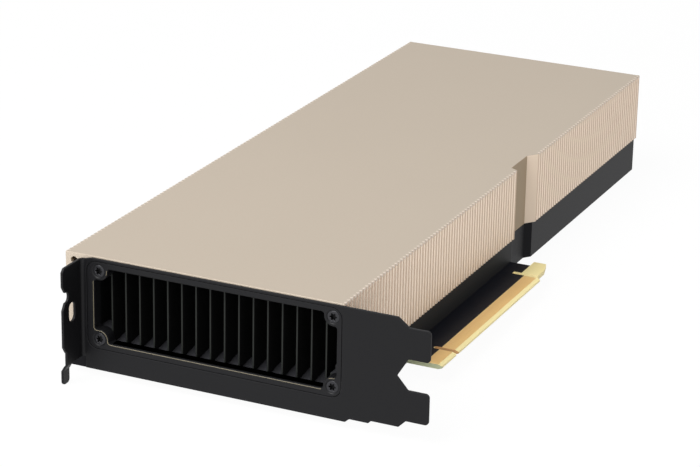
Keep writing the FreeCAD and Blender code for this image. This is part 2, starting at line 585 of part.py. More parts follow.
# ---- Circuit board -----------------------------------------------------------------------------------
def board_outline():
    """Plan of the board: body, edge connector with its key, retention slot and hook."""
    left = TRAY_INNER_LEFT + BOARD_EDGE_GAP
    right = TRAY_INNER_RIGHT - BOARD_EDGE_GAP
    front = BODY_FRONT + FRONT_WALL + BOARD_EDGE_GAP
    rear = REAR_FRAME_FRONT - BOARD_EDGE_GAP
    notch = notch_line(right, NOTCH_FLOOR_X - TRAY_WALL - BOARD_EDGE_GAP, TRAY_WALL + BOARD_EDGE_GAP)
    key_front = KEY_CENTRE - KEY_WIDTH / 2
    key_rear = KEY_CENTRE + KEY_WIDTH / 2
    edge = CONNECTOR_EDGE_X
    hook_x = edge - HOOK_SETBACK
    neck_x = hook_x - HOOK_WIDTH
    return [(left, front), (right, front), (right, TONGUE_FRONT), (edge, TONGUE_FRONT),
            (edge, key_front), (edge - KEY_DEPTH, key_front), (edge - KEY_DEPTH, key_rear),
            (edge, key_rear), (edge, LONG_END), (edge - RETENTION_DEPTH, LONG_END),
            (edge - RETENTION_DEPTH, HOOK_START), (hook_x, HOOK_START),
            (hook_x, HOOK_START + HOOK_LENGTH - HOOK_TAPER_LENGTH),
            (hook_x - HOOK_TAPER, HOOK_START + HOOK_LENGTH), (neck_x, HOOK_START + HOOK_LENGTH),
            (neck_x, HOOK_NECK_END), (right, HOOK_NECK_END)] + notch + [(right, rear), (left, rear)]


def make_circuit_board():
    board = prism_z(board_outline(), BOARD_BOTTOM, BOARD_TOP)
    key_end = CONNECTOR_EDGE_X - KEY_DEPTH
    rounded = edges_along(board, 2, lambda p: abs(p.x - key_end) < 0.01)
    board = board.makeFillet(KEY_WIDTH * 0.45, rounded)
    edge = CONNECTOR_EDGE_X
    for z, depth in ((BOARD_TOP, -BEVEL_DEPTH), (BOARD_BOTTOM, BEVEL_DEPTH)):
        wedge = prism_y([(edge - BEVEL_LENGTH, z), (edge, z), (edge, z + depth)], TONGUE_FRONT, LONG_END)
        board = board.cut(wedge)
    for x, y in CLAMP_PLACES:
        board = board.cut(rod_z(x, y, SCREW_SHANK + HOLE_CLEARANCE, BOARD_BOTTOM, BOARD_TOP))
    return board


def contact_rows():
    """Centres of the contacts along Y, in front of the key and behind it."""
    short = [KEY_CENTRE - KEY_TO_CONTACT - i * CONTACT_PITCH for i in range(SHORT_CONTACTS)]
    long = [KEY_CENTRE + KEY_TO_CONTACT + i * CONTACT_PITCH for i in range(LONG_CONTACTS)]
    return short[::-1] + long


def make_contacts(z0, z1):
    x1 = CONNECTOR_EDGE_X - BEVEL_LENGTH
    half = CONTACT_WIDTH / 2
    return Part.makeCompound([box(x1 - CONTACT_LENGTH, x1, y - half, y + half, z0, z1)
                              for y in contact_rows()])


def make_contacts_top():
    return make_contacts(BOARD_TOP, BOARD_TOP + CONTACT_THICKNESS)


def make_contacts_bottom():
    return make_contacts(BOARD_BOTTOM - CONTACT_THICKNESS, BOARD_BOTTOM)


# ---- Processor ---------------------------------------------------------------------------------------
def centred_block(x, y, width, length, z0, height):
    return box(x - width / 2, x + width / 2, y - length / 2, y + length / 2, z0, z0 + height)


def make_processor_substrate():
    return centred_block(PACKAGE_X, PACKAGE_Y, PACKAGE_SIZE, PACKAGE_SIZE, BOARD_TOP, PACKAGE_HEIGHT)


def make_processor_die():
    return centred_block(PACKAGE_X, PACKAGE_Y, DIE_WIDTH, DIE_LENGTH, BOARD_TOP + PACKAGE_HEIGHT, DIE_HEIGHT)


def make_memory_stacks():
    side = DIE_WIDTH / 2 + MEMORY_GAP + MEMORY_WIDTH / 2
    pitch = MEMORY_LENGTH + MEMORY_GAP
    stacks = [centred_block(PACKAGE_X + i * side, PACKAGE_Y + j * pitch, MEMORY_WIDTH, MEMORY_LENGTH,
                            BOARD_TOP + PACKAGE_HEIGHT, DIE_HEIGHT)
              for i in (-1, 1) for j in (-1, 0, 1)]
    return Part.makeCompound(stacks)


def make_package_stiffener():
    base = BOARD_TOP + PACKAGE_HEIGHT
    outer = centred_block(PACKAGE_X, PACKAGE_Y, PACKAGE_SIZE, PACKAGE_SIZE, base, STIFFENER_HEIGHT)
    inside = PACKAGE_SIZE - 2 * STIFFENER_BAND
    return outer.cut(centred_block(PACKAGE_X, PACKAGE_Y, inside, inside, base, STIFFENER_HEIGHT))


# ---- Heat sink ----------------------------------------------------------------------------------------
def make_heat_sink_base():
    """The copper plate with its pedestal on the package."""
    plate = box(SINK_LEFT, SINK_RIGHT, SINK_START, SINK_END, SINK_UNDERSIDE, SINK_TOP)
    contact = BOARD_TOP + PACKAGE_HEIGHT + DIE_HEIGHT
    pedestal = centred_block(PACKAGE_X, PACKAGE_Y, PEDESTAL_SIZE, PEDESTAL_SIZE, contact,
                             SINK_UNDERSIDE - contact)
    return plate.fuse(pedestal).removeSplitter()


def make_heat_sink_fins():
    """Lengthwise fins standing on one thin foot, as a single comb."""
    foot = SINK_TOP + FIN_THICKNESS
    top = COVER_INNER_TOP - FIN_GAP_TO_COVER
    count = int((SINK_RIGHT - SINK_LEFT - FIN_THICKNESS) / FIN_PITCH) + 1
    start = SINK_LEFT
    points = [(start, SINK_TOP)]
    end = start + (count - 1) * FIN_PITCH + FIN_THICKNESS
    points.append((end, SINK_TOP))
    for i in reversed(range(count)):
        x = start + i * FIN_PITCH
        points += [(x + FIN_THICKNESS, top), (x, top)]
        if i > 0:
            points += [(x, foot), (x - FIN_PITCH + FIN_THICKNESS, foot)]
    return prism_y(points, SINK_START, SINK_END)


# ---- Standoffs and the screws from below ---------------------------------------------------------------
def make_board_standoffs():
    """Hexagonal studs pressed on the tray's floor, on which the board lies."""
    return Part.makeCompound([hexagon_post(x, y, STANDOFF_SIZE, TRAY_FLOOR, BOARD_BOTTOM)
                              for x, y in STANDOFF_PLACES])


def make_heat_sink_standoffs():
    """Tapped hexagonal posts under the heat sink's plate, which stand on the board."""
    posts = []
    for x, y in CLAMP_PLACES:
        post = hexagon_post(x, y, STANDOFF_SIZE, BOARD_TOP, SINK_UNDERSIDE)
        bore = rod_z(x, y, SCREW_SHANK + THREAD_CLEARANCE, BOARD_TOP, SINK_UNDERSIDE - SCREW_TIP_GAP)
        posts.append(post.cut(bore))
    return Part.makeCompound(posts)


def make_tray_screw(x, y):
    """A countersunk screw through the tray's floor into the rear frame."""
    neck = SCREW_RECESS + COUNTERSINK_DEPTH
    head = cone_z(x, y, SCREW_HEAD, SCREW_SHANK, SCREW_RECESS, neck)
    return head.fuse(rod_z(x, y, SCREW_SHANK, neck, TRAY_SCREW_LENGTH))


def make_clamp_screw(x, y):
    """A hexagon-head screw under the board that pulls the heat sink down onto the package."""
    head = hexagon_post(x, y, CLAMP_HEAD_SIZE, BOARD_BOTTOM - CLAMP_HEAD_HEIGHT, BOARD_BOTTOM)
    return head.fuse(rod_z(x, y, SCREW_SHANK, BOARD_BOTTOM, SINK_UNDERSIDE - 2 * SCREW_TIP_GAP))


def make_tray_screws():
    return Part.makeCompound([make_tray_screw(x, y) for x, y in TRAY_SCREW_PLACES])


def make_clamp_screws():
    return Part.makeCompound([make_clamp_screw(x, y) for x, y in CLAMP_PLACES])


# ---- Power parts ---------------------------------------------------------------------------------------
def inductor_places():
    first = PACKAGE_Y - INDUCTOR_PITCH * (INDUCTORS_PER_ROW - 1) / 2
    return [(PACKAGE_X + side * INDUCTOR_OFFSET, first + i * INDUCTOR_PITCH)
            for side in (-1, 1) for i in range(INDUCTORS_PER_ROW)]


def make_power_inductors():
    blocks = [centred_block(x, y, INDUCTOR_SIZE, INDUCTOR_SIZE, BOARD_TOP, INDUCTOR_HEIGHT)
              for x, y in inductor_places()]
    return Part.makeCompound(blocks)


def make_thermal_pads():
    pads = [centred_block(x, y, PAD_SIZE, PAD_SIZE, BOARD_TOP + INDUCTOR_HEIGHT,
                          SINK_UNDERSIDE - BOARD_TOP - INDUCTOR_HEIGHT)
            for x, y in inductor_places()]
    return Part.makeCompound(pads)


def make_bulk_capacitors():
    first = PACKAGE_X - CAPACITOR_PITCH * (CAPACITORS - 1) / 2
    blocks = [centred_block(first + i * CAPACITOR_PITCH, SINK_END - CAPACITOR_INSET, CAPACITOR_WIDTH,
                            CAPACITOR_LENGTH, BOARD_TOP, CAPACITOR_HEIGHT) for i in range(CAPACITORS)]
    return Part.makeCompound(blocks)


def plug_cells():
    """Centres (x, z) of the power connector's eight sockets."""
    x0 = PLUG_LEFT + PLUG_WALL + PLUG_CELL_PITCH / 2
    z0 = BOARD_TOP + PLUG_WALL + PLUG_CELL_PITCH / 2
    return [(x0 + i * PLUG_CELL_PITCH, z0 + j * PLUG_CELL_PITCH)
            for i in range(PLUG_CELLS) for j in range(PLUG_ROWS)]


def make_power_connector():
    front = CARD_LENGTH - PLUG_LENGTH
    housing = box(PLUG_LEFT, PLUG_RIGHT, front, CARD_LENGTH, BOARD_TOP, PLUG_TOP)
    middle = (PLUG_LEFT + PLUG_RIGHT) / 2
    latch = box(middle - LATCH_WIDTH / 2, middle + LATCH_WIDTH / 2, CARD_LENGTH - PLUG_SOCKET_DEPTH,
                CARD_LENGTH, PLUG_TOP, PLUG_TOP + LATCH_HEIGHT)
    housing = housing.fuse(latch).removeSplitter()
    half = PLUG_CELL / 2
    cells = [box(x - half, x + half, CARD_LENGTH - PLUG_SOCKET_DEPTH, CARD_LENGTH, z - half, z + half)
             for x, z in plug_cells()]
    return housing.cut(cells)


def make_power_connector_pins():
    half = PIN_SIZE / 2
    return Part.makeCompound([box(x - half, x + half, CARD_LENGTH - PLUG_SOCKET_DEPTH,
                                  CARD_LENGTH - PIN_END_GAP, z - half, z + half)
                              for x, z in plug_cells()])


# ---- Rear frame ------------------------------------------------------------------------------------------
def make_rear_frame():
    left = INNER_LEFT + FIT
    right = INNER_RIGHT - FIT
    frame = box(left, right, REAR_FRAME_FRONT, CARD_LENGTH, TRAY_FLOOR, FRAME_TOP)
    outlet_left = left + OUTLET_MARGIN_LEFT
    outlet_right = right - OUTLET_MARGIN_RIGHT
    outlet = prism_y([(outlet_left, OUTLET_STEP_Z), (OUTLET_STEP_X, OUTLET_STEP_Z),
                      (OUTLET_STEP_X, INLET_BOTTOM), (outlet_right, INLET_BOTTOM),
                      (outlet_right, INLET_TOP), (outlet_left, INLET_TOP)], REAR_FRAME_FRONT, CARD_LENGTH)
    plug_gap = box(PLUG_LEFT - FIT, PLUG_RIGHT + FIT, REAR_FRAME_FRONT, CARD_LENGTH,
                   BOARD_BOTTOM, PLUG_TOP + LATCH_HEIGHT + FIT)
    frame = frame.cut([outlet, plug_gap])
    for x in (left + OUTLET_MARGIN_LEFT / 2, right - OUTLET_MARGIN_RIGHT / 2):
        for z in (EXTENDER_LOWER_Z, EXTENDER_LOWER_Z + EXTENDER_SPACING):
            frame = frame.cut(rod_y(x, z, EXTENDER_HOLE, CARD_LENGTH - EXTENDER_HOLE_DEPTH, CARD_LENGTH))
    for x, y in TRAY_SCREW_PLACES:
        frame = frame.cut(rod_z(x, y, SCREW_SHANK + THREAD_CLEARANCE, TRAY_FLOOR,
                                TRAY_SCREW_LENGTH + SCREW_TIP_GAP))
    return frame


PIECES = {
    "mounting_bracket": make_mounting_bracket,
    "front_frame": make_front_frame,
    "front_frame_screws": make_front_frame_screws,
    "inlet_vanes": make_inlet_vanes,
    "top_cover": make_top_cover,
    "base_tray": make_base_tray,
    "connector_rail": make_connector_rail,
    "circuit_board": make_circuit_board,
    "edge_contacts_top": make_contacts_top,
    "edge_contacts_bottom": make_contacts_bottom,
    "processor_substrate": make_processor_substrate,
    "processor_die": make_processor_die,
    "memory_stacks": make_memory_stacks,
    "package_stiffener": make_package_stiffener,
    "heat_sink_base": make_heat_sink_base,
    "heat_sink_fins": make_heat_sink_fins,
    "board_standoffs": make_board_standoffs,
    "heat_sink_standoffs": make_heat_sink_standoffs,
    "tray_screws": make_tray_screws,
    "clamp_screws": make_clamp_screws,
    "power_inductors": make_power_inductors,
    "thermal_pads": make_thermal_pads,
    "bulk_capacitors": make_bulk_capacitors,
    "power_connector": make_power_connector,
    "power_connector_pins": make_power_connector_pins,
    "rear_frame": make_rear_frame,
}

os.makedirs("parts", exist_ok=True)
for piece_name, make in PIECES.items():
    save(piece_name, make())
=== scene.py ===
# %% [markdown]
# # A passive accelerator card
# A card like this has no fan of its own: the server blows air through the vaned inlet in its bracket, along a
# heat sink inside, and out of the rear end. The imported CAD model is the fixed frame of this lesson. Every piece
# stays where the CAD puts it. The lesson adds the finishes, the light and the small things that a machinist's
# eye looks for, such as broken edges and screw heads.

# %% Load the frame
import math

import bmesh
import bpy
from mathutils import Matrix, Vector


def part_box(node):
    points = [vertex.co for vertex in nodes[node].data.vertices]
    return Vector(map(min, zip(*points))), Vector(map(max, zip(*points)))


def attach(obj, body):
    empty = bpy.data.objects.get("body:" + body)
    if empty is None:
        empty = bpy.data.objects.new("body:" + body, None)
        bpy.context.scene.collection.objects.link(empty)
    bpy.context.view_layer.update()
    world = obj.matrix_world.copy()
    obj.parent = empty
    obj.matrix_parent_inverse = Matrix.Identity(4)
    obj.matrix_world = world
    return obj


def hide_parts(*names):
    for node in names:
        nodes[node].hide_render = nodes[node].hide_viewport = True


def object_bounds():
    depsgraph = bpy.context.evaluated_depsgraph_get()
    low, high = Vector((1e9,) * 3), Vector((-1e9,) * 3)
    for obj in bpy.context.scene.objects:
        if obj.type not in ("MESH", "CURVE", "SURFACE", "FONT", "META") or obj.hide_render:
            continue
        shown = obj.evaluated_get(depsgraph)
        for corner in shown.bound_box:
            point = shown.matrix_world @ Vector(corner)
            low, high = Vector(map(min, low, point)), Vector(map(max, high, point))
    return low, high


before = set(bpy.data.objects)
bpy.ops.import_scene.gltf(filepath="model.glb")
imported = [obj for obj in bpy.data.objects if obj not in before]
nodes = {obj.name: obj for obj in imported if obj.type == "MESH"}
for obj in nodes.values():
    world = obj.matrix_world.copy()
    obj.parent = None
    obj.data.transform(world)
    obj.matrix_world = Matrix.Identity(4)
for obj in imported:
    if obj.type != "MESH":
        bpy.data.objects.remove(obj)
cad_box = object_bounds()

MM = 0.001
print("CAD nodes:", len(nodes), "box in mm:", [[round(v / MM, 2) for v in corner] for corner in cad_box])

# %% [markdown]
# ## The camera
# The view is that of a catalogue picture: a long lens, a little above the card, turned towards the side with the
# edge connector. The camera's place is given in the card's own frame, in millimetres. Its heading, its tilt and a
# slight roll, in radians, then turn it. No shift or depth of field is needed.

# %% Place the camera
CAMERA_PLACE = Vector((400.06, -665.03, 334.19)) * MM
CAMERA_HEADING = 0.433
CAMERA_TILT = 0.356
CAMERA_ROLL = 0.019
CAMERA_LENS = 135.6

camera_data = bpy.data.cameras.new("camera")
camera_data.lens = CAMERA_LENS
camera_data.sensor_width = 36.0
camera_data.clip_start = 0.01
camera = bpy.data.objects.new("camera", camera_data)
turn = (Matrix.Rotation(CAMERA_HEADING, 4, "Z") @ Matrix.Rotation(math.pi / 2 - CAMERA_TILT, 4, "X")
        @ Matrix.Rotation(CAMERA_ROLL, 4, "Z"))
camera.matrix_world = Matrix.Translation(CAMERA_PLACE) @ turn
bpy.context.scene.collection.objects.link(camera)
bpy.context.scene.camera = camera
print("camera looks along", [round(v, 3) for v in turn.to_3x3() @ Vector((0, 0, -1))])

# %% [markdown]
# ## Colour and grain
# Paint, anodising and bare metal are never one flat colour. Each finish here starts from the same three layers:
# a slow drift of the colour over the piece, a fine grain that breaks up the gloss, and a bump of the same grain.
# All three read Object coordinates, so the pattern stays on the piece when the piece is exported. A value that
# is the same everywhere is set on the shader's own socket.


# %% A helper for colours and one for finishes
def colour(red, green, blue):
    """A colour given on a 0 to 255 scale, as the linear values that Blender's shaders take."""
    parts = []
    for value in (red, green, blue):
        share = value / 255
        parts.append(share / 12.92 if share <= 0.04045 else ((share + 0.055) / 1.055) ** 2.4)
    return (*parts, 1.0)


GLOSS_SPREAD = 0.15
DRIFT_DETAIL, GRAIN_DETAIL = 3, 2


def finish_of(name, base, roughness, metallic=0.0, drift=0.05, drift_size=40.0, grain=0.2, bump=0.04,
              mirror=0.5):
    """A material with drifting colour and fine grain, sizes in mm. mirror is how much a non-metal reflects."""
    material = bpy.data.materials.new(name)
    material.use_nodes = True
    tree = material.node_tree
    shader = tree.nodes["Principled BSDF"]
    shader.inputs["Metallic"].default_value = metallic
    shader.inputs["Specular IOR Level"].default_value = mirror
    coordinates = tree.nodes.new("ShaderNodeTexCoord")

    slow = tree.nodes.new("ShaderNodeTexNoise")
    slow.inputs["Scale"].default_value = 1 / (drift_size * MM)
    slow.inputs["Detail"].default_value = DRIFT_DETAIL
    tree.links.new(coordinates.outputs["Object"], slow.inputs["Vector"])
    tint = tree.nodes.new("ShaderNodeMix")
    tint.data_type = "RGBA"
    tint.inputs["A"].default_value = tuple(c * (1 - drift) for c in base[:3]) + (1.0,)
    tint.inputs["B"].default_value = tuple(min(1.0, c * (1 + drift)) for c in base[:3]) + (1.0,)
    tree.links.new(slow.outputs["Fac"], tint.inputs["Factor"])
    tree.links.new(tint.outputs["Result"], shader.inputs["Base Color"])

    fine = tree.nodes.new("ShaderNodeTexNoise")
    fine.inputs["Scale"].default_value = 1 / (grain * MM)
    fine.inputs["Detail"].default_value = GRAIN_DETAIL
    tree.links.new(coordinates.outputs["Object"], fine.inputs["Vector"])
    gloss = tree.nodes.new("ShaderNodeMapRange")
    gloss.inputs["To Min"].default_value = roughness * (1 - GLOSS_SPREAD)
    gloss.inputs["To Max"].default_value = roughness * (1 + GLOSS_SPREAD)
    tree.links.new(fine.outputs["Fac"], gloss.inputs["Value"])
    tree.links.new(gloss.outputs["Result"], shader.inputs["Roughness"])

    relief = tree.nodes.new("ShaderNodeBump")
    relief.inputs["Strength"].default_value = bump
    relief.inputs["Distance"].default_value = grain * MM
    tree.links.new(fine.outputs["Fac"], relief.inputs["Height"])
    tree.links.new(relief.outputs["Normal"], shader.inputs["Normal"])
    return material


def dress(node, material):
    """Gives a CAD node its finish."""
    mesh = nodes[node].data
    mesh.materials.clear()
    mesh.materials.append(material)


# %% [markdown]
# ## Masks
# Some pieces carry two finishes, such as a black coating with a machined edge. A mask is a number between 0 and 1
# at each point, made from where the point is or from the way its face looks, and it chooses between the two.


# %% Helpers for node trees
def calculate(tree, operation, *values):
    """The result of a Math node. Each value is a number or the output of another node."""
    node = tree.nodes.new("ShaderNodeMath")
    node.operation = operation
    for socket, value in zip(node.inputs, values):
        if isinstance(value, (int, float)):
            socket.default_value = value
        else:
            tree.links.new(value, socket)
    return node.outputs["Value"]


def along(tree, vector, axis):
    """The part of a vector that lies along an axis."""
    parts = tree.nodes.new("ShaderNodeSeparateXYZ")
    tree.links.new(vector, parts.inputs["Vector"])
    return parts.outputs[axis]


def mix_over(material, name, value, mask, kind="FLOAT"):
    """Changes a socket of the shader to a value where mask is 1, and leaves it as it was elsewhere."""
    tree = material.node_tree
    socket = tree.nodes["Principled BSDF"].inputs[name]
    mix = tree.nodes.new("ShaderNodeMix")
    mix.data_type = kind
    if socket.is_linked:
        tree.links.new(socket.links[0].from_socket, mix.inputs["A"])
    else:
        mix.inputs["A"].default_value = socket.default_value
    mix.inputs["B"].default_value = value
    tree.links.new(mask, mix.inputs["Factor"])
    tree.links.new(mix.outputs["Result"], socket)


# %% Helpers for masks
def blend_by_mask(material, mask, base, roughness, metallic):
    """Turns a finish into a second one where mask is 1."""
    mix_over(material, "Base Color", base, mask, "RGBA")
    mix_over(material, "Roughness", roughness, mask)
    metal = material.node_tree.nodes["Principled BSDF"].inputs["Metallic"]
    if metal.is_linked or metal.default_value != metallic:
        mix_over(material, "Metallic", metallic, mask)


def facing_mask(material, axis, lowest, highest):
    """1 on faces whose true normal has a share between lowest and highest along an axis, either way."""
    tree = material.node_tree
    geometry = tree.nodes.new("ShaderNodeNewGeometry")
    share = calculate(tree, "ABSOLUTE", along(tree, geometry.outputs["True Normal"], axis))
    return calculate(tree, "COMPARE", share, (lowest + highest) / 2, (highest - lowest) / 2)


def towards_mask(material, axis, least):
    """1 on faces whose true normal has more than a share along an axis. The share may be negative."""
    tree = material.node_tree
    geometry = tree.nodes.new("ShaderNodeNewGeometry")
    return calculate(tree, "GREATER_THAN", along(tree, geometry.outputs["True Normal"], axis), least)


def place_mask(material, axis, place, side="GREATER_THAN"):
    """1 where the Object coordinate along an axis is above a place in metres, or below with side LESS_THAN."""
    tree = material.node_tree
    coordinates = tree.nodes.new("ShaderNodeTexCoord")
    return calculate(tree, side, along(tree, coordinates.outputs["Object"], axis), place)


def outside_mask(material, x, z, radius):
    """1 where a point is further than a radius from an axis that runs along Y, sizes in metres."""
    tree = material.node_tree
    coordinates = tree.nodes.new("ShaderNodeTexCoord")
    flat = tree.nodes.new("ShaderNodeVectorMath")
    flat.operation = "MULTIPLY"
    flat.inputs[1].default_value = (1, 0, 1)
    tree.links.new(coordinates.outputs["Object"], flat.inputs[0])
    away = tree.nodes.new("ShaderNodeVectorMath")
    away.operation = "DISTANCE"
    away.inputs[1].default_value = (x, 0, z)
    tree.links.new(flat.outputs["Vector"], away.inputs[0])
    return calculate(tree, "GREATER_THAN", away.outputs["Value"], radius)


def both(material, first, second):
    """1 where two masks are both 1."""
    return calculate(material.node_tree, "MULTIPLY", first, second)


# %% [markdown]
# ## Softened edges
# No real edge is perfectly sharp. Three modifiers break the edges of a piece and leave its mesh alone: the first
# joins the mesh at its seams, the second makes whole faces out of its triangles, and the third rounds each edge.


# %% A helper that breaks edges
SEAM = 0.0005 * MM
FLAT_WITHIN = math.radians(1.0)
EDGE_ANGLE = math.radians(40.0)
EDGE_STEPS = 2


def soften(node, width):
    """Rounds a node's sharp edges by a width in millimetres."""
    piece = nodes[node]
    weld = piece.modifiers.new("join", "WELD")
    weld.merge_threshold = SEAM
    whole = piece.modifiers.new("whole_faces", "DECIMATE")
    whole.decimate_type = "DISSOLVE"
    whole.angle_limit = FLAT_WITHIN
    rounded = piece.modifiers.new("broken_edge", "BEVEL")
    rounded.width = width * MM
    rounded.segments = EDGE_STEPS
    rounded.limit_method = "ANGLE"
    rounded.angle_limit = EDGE_ANGLE
    rounded.use_clamp_overlap = False


# %% [markdown]
# ## The champagne cover
# The cover is aluminium, blasted with fine beads and then anodised in a pale champagne colour. Blasting leaves a
# soft, even sheen with no direction. The grooves of the ribs are milled. Their forward flanks carry a painted
# highlight, a lighter copy of the champagne, and their crests a darker copy, a painted shade. The notch's ramp
# carries a painted highlight and its floor a painted shade. The way each face looks tells these apart, and for the
# floor of the notch also how far in it lies.

# %% Anodised champagne
FLANK_HIGHLIGHT_NORMAL = (0.78, 0.97)
CREST_SHADE_NORMAL = (0.97, 1.0)
RAMP_HIGHLIGHT_NORMAL = (0.5, 0.7)
UPRIGHT = (0.0, 0.05)
NOTCH_REACH = 1.5 * MM
OUTWARDS = 0.9
champagne = finish_of("champagne_anodised", colour(178, 166, 151), roughness=0.6, metallic=0.3,
                      drift=0.02, drift_size=70.0, grain=0.6, bump=0.01, mirror=0.3)
upright = facing_mask(champagne, "Z", *UPRIGHT)
# Forward flanks of the ribs: a painted highlight, a lighter copy of the champagne.
flank_highlight = both(champagne, facing_mask(champagne, "Y", *FLANK_HIGHLIGHT_NORMAL), upright)
blend_by_mask(champagne, flank_highlight, colour(248, 233, 217), roughness=0.5, metallic=0.3)
# Crests of the ribs: a painted shade, darker than the flanks.
crest_shade = facing_mask(champagne, "X", *CREST_SHADE_NORMAL)
blend_by_mask(champagne, crest_shade, colour(204, 178, 155), roughness=0.5, metallic=0.3)
# The notch ramp: a painted highlight, lighter than the blasted champagne.
ramp_highlight = both(champagne, facing_mask(champagne, "Y", *RAMP_HIGHLIGHT_NORMAL), upright)
blend_by_mask(champagne, ramp_highlight, colour(210, 192, 173), roughness=0.5, metallic=0.3)
# The notch floor: a painted shade in the recess, darker than the blasted champagne.
notch_floor_shade = both(champagne, towards_mask(champagne, "X", OUTWARDS),
                   place_mask(champagne, "X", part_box("top_cover")[1].x - NOTCH_REACH, "LESS_THAN"))
blend_by_mask(champagne, notch_floor_shade, colour(160, 142, 118), roughness=0.6, metallic=0.3)
dress("top_cover", champagne)
print("cover finishes: blasted, milled, crest, ramp and notch floor")

# %% [markdown]
# ## Black pieces
# The tray and the rail beside the edge connector have a satin black coating. The bracket is powder-coated steel,
# with the faint orange peel of powder. The duct is a matte moulding. Its floor and the front edges of its vanes
# are painted a lighter grey than their flanks, a painted highlight; the flanks lie in the dark.

# %% Satin, powder and moulded black
STRAIGHT = (0.95, 1.0)
satin_black = finish_of("satin_black", colour(14, 14, 17), roughness=0.45, grain=0.5, bump=0.03, mirror=0.1)
powder_black = finish_of("powder_black", colour(13, 13, 15), roughness=0.5, grain=0.6, bump=0.04,
                         mirror=0.22)
moulded_black = finish_of("moulded_black", colour(14, 14, 15), roughness=0.6, grain=0.5, bump=0.03,
                          mirror=0.2)
duct_black = finish_of("duct_black", colour(8, 8, 8), roughness=0.6, grain=0.5, bump=0.03, mirror=0.2)
# The duct's floor gets a painted highlight, a lighter grey.
duct_floor_highlight = facing_mask(duct_black, "Z", *STRAIGHT)
blend_by_mask(duct_black, duct_floor_highlight, colour(44, 44, 47), roughness=0.5, metallic=0.0)
# The vanes' front edges get a painted highlight, a lighter grey.
vane_edge_highlight = facing_mask(duct_black, "Y", *STRAIGHT)
blend_by_mask(duct_black, vane_edge_highlight, colour(26, 28, 26), roughness=0.5, metallic=0.0)
BLACK = {"base_tray": satin_black, "rear_frame": satin_black, "mounting_bracket": powder_black,
         "connector_rail": moulded_black, "power_connector": moulded_black, "inlet_vanes": duct_black}
for piece, material in BLACK.items():
    dress(piece, material)
print("black pieces:", len(BLACK))

# %% [markdown]
# ## The machined edge of the inlet
# The frame in the bracket's window is black, but its chamfer was cut after the coating, so a thin line of bare
# metal shows along the opening. The chamfer is the only face of this piece that looks half forwards and half
# inwards, so the true normal finds it. The line is left out near the screw heads. On the two sides that look
# away from the light the bare chamfer keeps the black, a painted shade.

# %% Black frame with a bright chamfer
CHAMFER_NORMAL = (0.5, 0.9)
TOWARDS_LIGHT = -0.2
BRIGHT_DEPTH = 0.1 * MM
HEAD_RADIUS = 2.1 * MM
HEAD_CLEAR = 2.45 * MM
frame_black = finish_of("frame_black", colour(15, 15, 17), roughness=0.5, grain=0.5, bump=0.03, mirror=0.22)
frame_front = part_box("front_frame")[0].y
screw_low, screw_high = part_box("front_frame_screws")
screw_places = [(x, z) for x in (screw_low.x + HEAD_RADIUS, screw_high.x - HEAD_RADIUS)
                for z in (screw_low.z + HEAD_RADIUS, screw_high.z - HEAD_RADIUS)]
chamfer = both(frame_black, facing_mask(frame_black, "Y", *CHAMFER_NORMAL),
               place_mask(frame_black, "Y", frame_front + BRIGHT_DEPTH, "LESS_THAN"))
# The chamfers that look away from the light keep the black coating colour: a painted shade.
for axis in ("X", "Z"):
    chamfer = both(frame_black, chamfer, towards_mask(frame_black, axis, TOWARDS_LIGHT))
for x, z in screw_places:
    chamfer = both(frame_black, chamfer, outside_mask(frame_black, x, z, HEAD_CLEAR))
blend_by_mask(frame_black, chamfer, colour(112, 104, 84), roughness=0.5, metallic=0.0)
dress("front_frame", frame_black)
print("frame screws at", [(round(x / MM, 1), round(z / MM, 1)) for x, z in screw_places])

# %% [markdown]
# ## The circuit board
# The board is glass-fibre laminate under a very dark blue solder mask. The mask stops short of the edge connector
# and the hook, where the bare laminate shows pale straw. The sawn edge is pale green at the front and paler along
# the connector, with browner walls in the key. Masks by place and by the way a face looks choose between these,
# and each blend lies over the ones before it.

# %% Solder mask, bare laminate and sawn edge
BARE_MARGIN = 0.3 * MM
HOOK_X, HOOK_Y = 97.4 * MM, 131.0 * MM
KEY_REACH = 20.0 * MM
EDGEWAYS = (0.0, 0.5)
CROSSWISE = (0.5, 1.0)
STRAW = colour(244, 230, 170)
contact_low, contact_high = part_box("edge_contacts_top")
solder_mask = finish_of("solder_mask", colour(7, 9, 18), roughness=0.4, grain=0.5, bump=0.02, mirror=0.15)
bare = place_mask(solder_mask, "X", contact_low.x - BARE_MARGIN)
beyond = place_mask(solder_mask, "X", contact_high.x)
hook = both(solder_mask, place_mask(solder_mask, "X", HOOK_X), place_mask(solder_mask, "Y", HOOK_Y))
sawn = facing_mask(solder_mask, "Z", *EDGEWAYS)
past_front = both(solder_mask, sawn, place_mask(solder_mask, "Y", contact_low.y))
crosswise = both(solder_mask, past_front, facing_mask(solder_mask, "Y", *CROSSWISE))
key_wall = both(solder_mask, crosswise,
                place_mask(solder_mask, "Y", contact_low.y + KEY_REACH, "LESS_THAN"))
for mask, base, roughness in ((bare, colour(236, 206, 146), 0.4), (beyond, STRAW, 0.4), (hook, STRAW, 0.4),
                              (sawn, colour(176, 182, 150), 0.6), (past_front, colour(236, 222, 168), 0.6),
                              (key_wall, colour(190, 150, 104), 0.6)):
    blend_by_mask(solder_mask, mask, base, roughness, metallic=0.0)
dress("circuit_board", solder_mask)
gold = finish_of("contact_gold", colour(236, 200, 136), roughness=0.35, metallic=0.5, drift=0.04,
                 drift_size=3.0, grain=0.1, bump=0.02)
for piece in ("edge_contacts_top", "edge_contacts_bottom", "power_connector_pins"):
    dress(piece, gold)
print("contacts run from", round(contact_low.y / MM, 2), "to", round(contact_high.y / MM, 2), "mm")

# %% [markdown]
# ## Metal inside
# The inside is seen only through the inlet and the rear frame: bare aluminium fins on a copper plate, over a board
# with its processor package and power parts. Each still has its own finish.

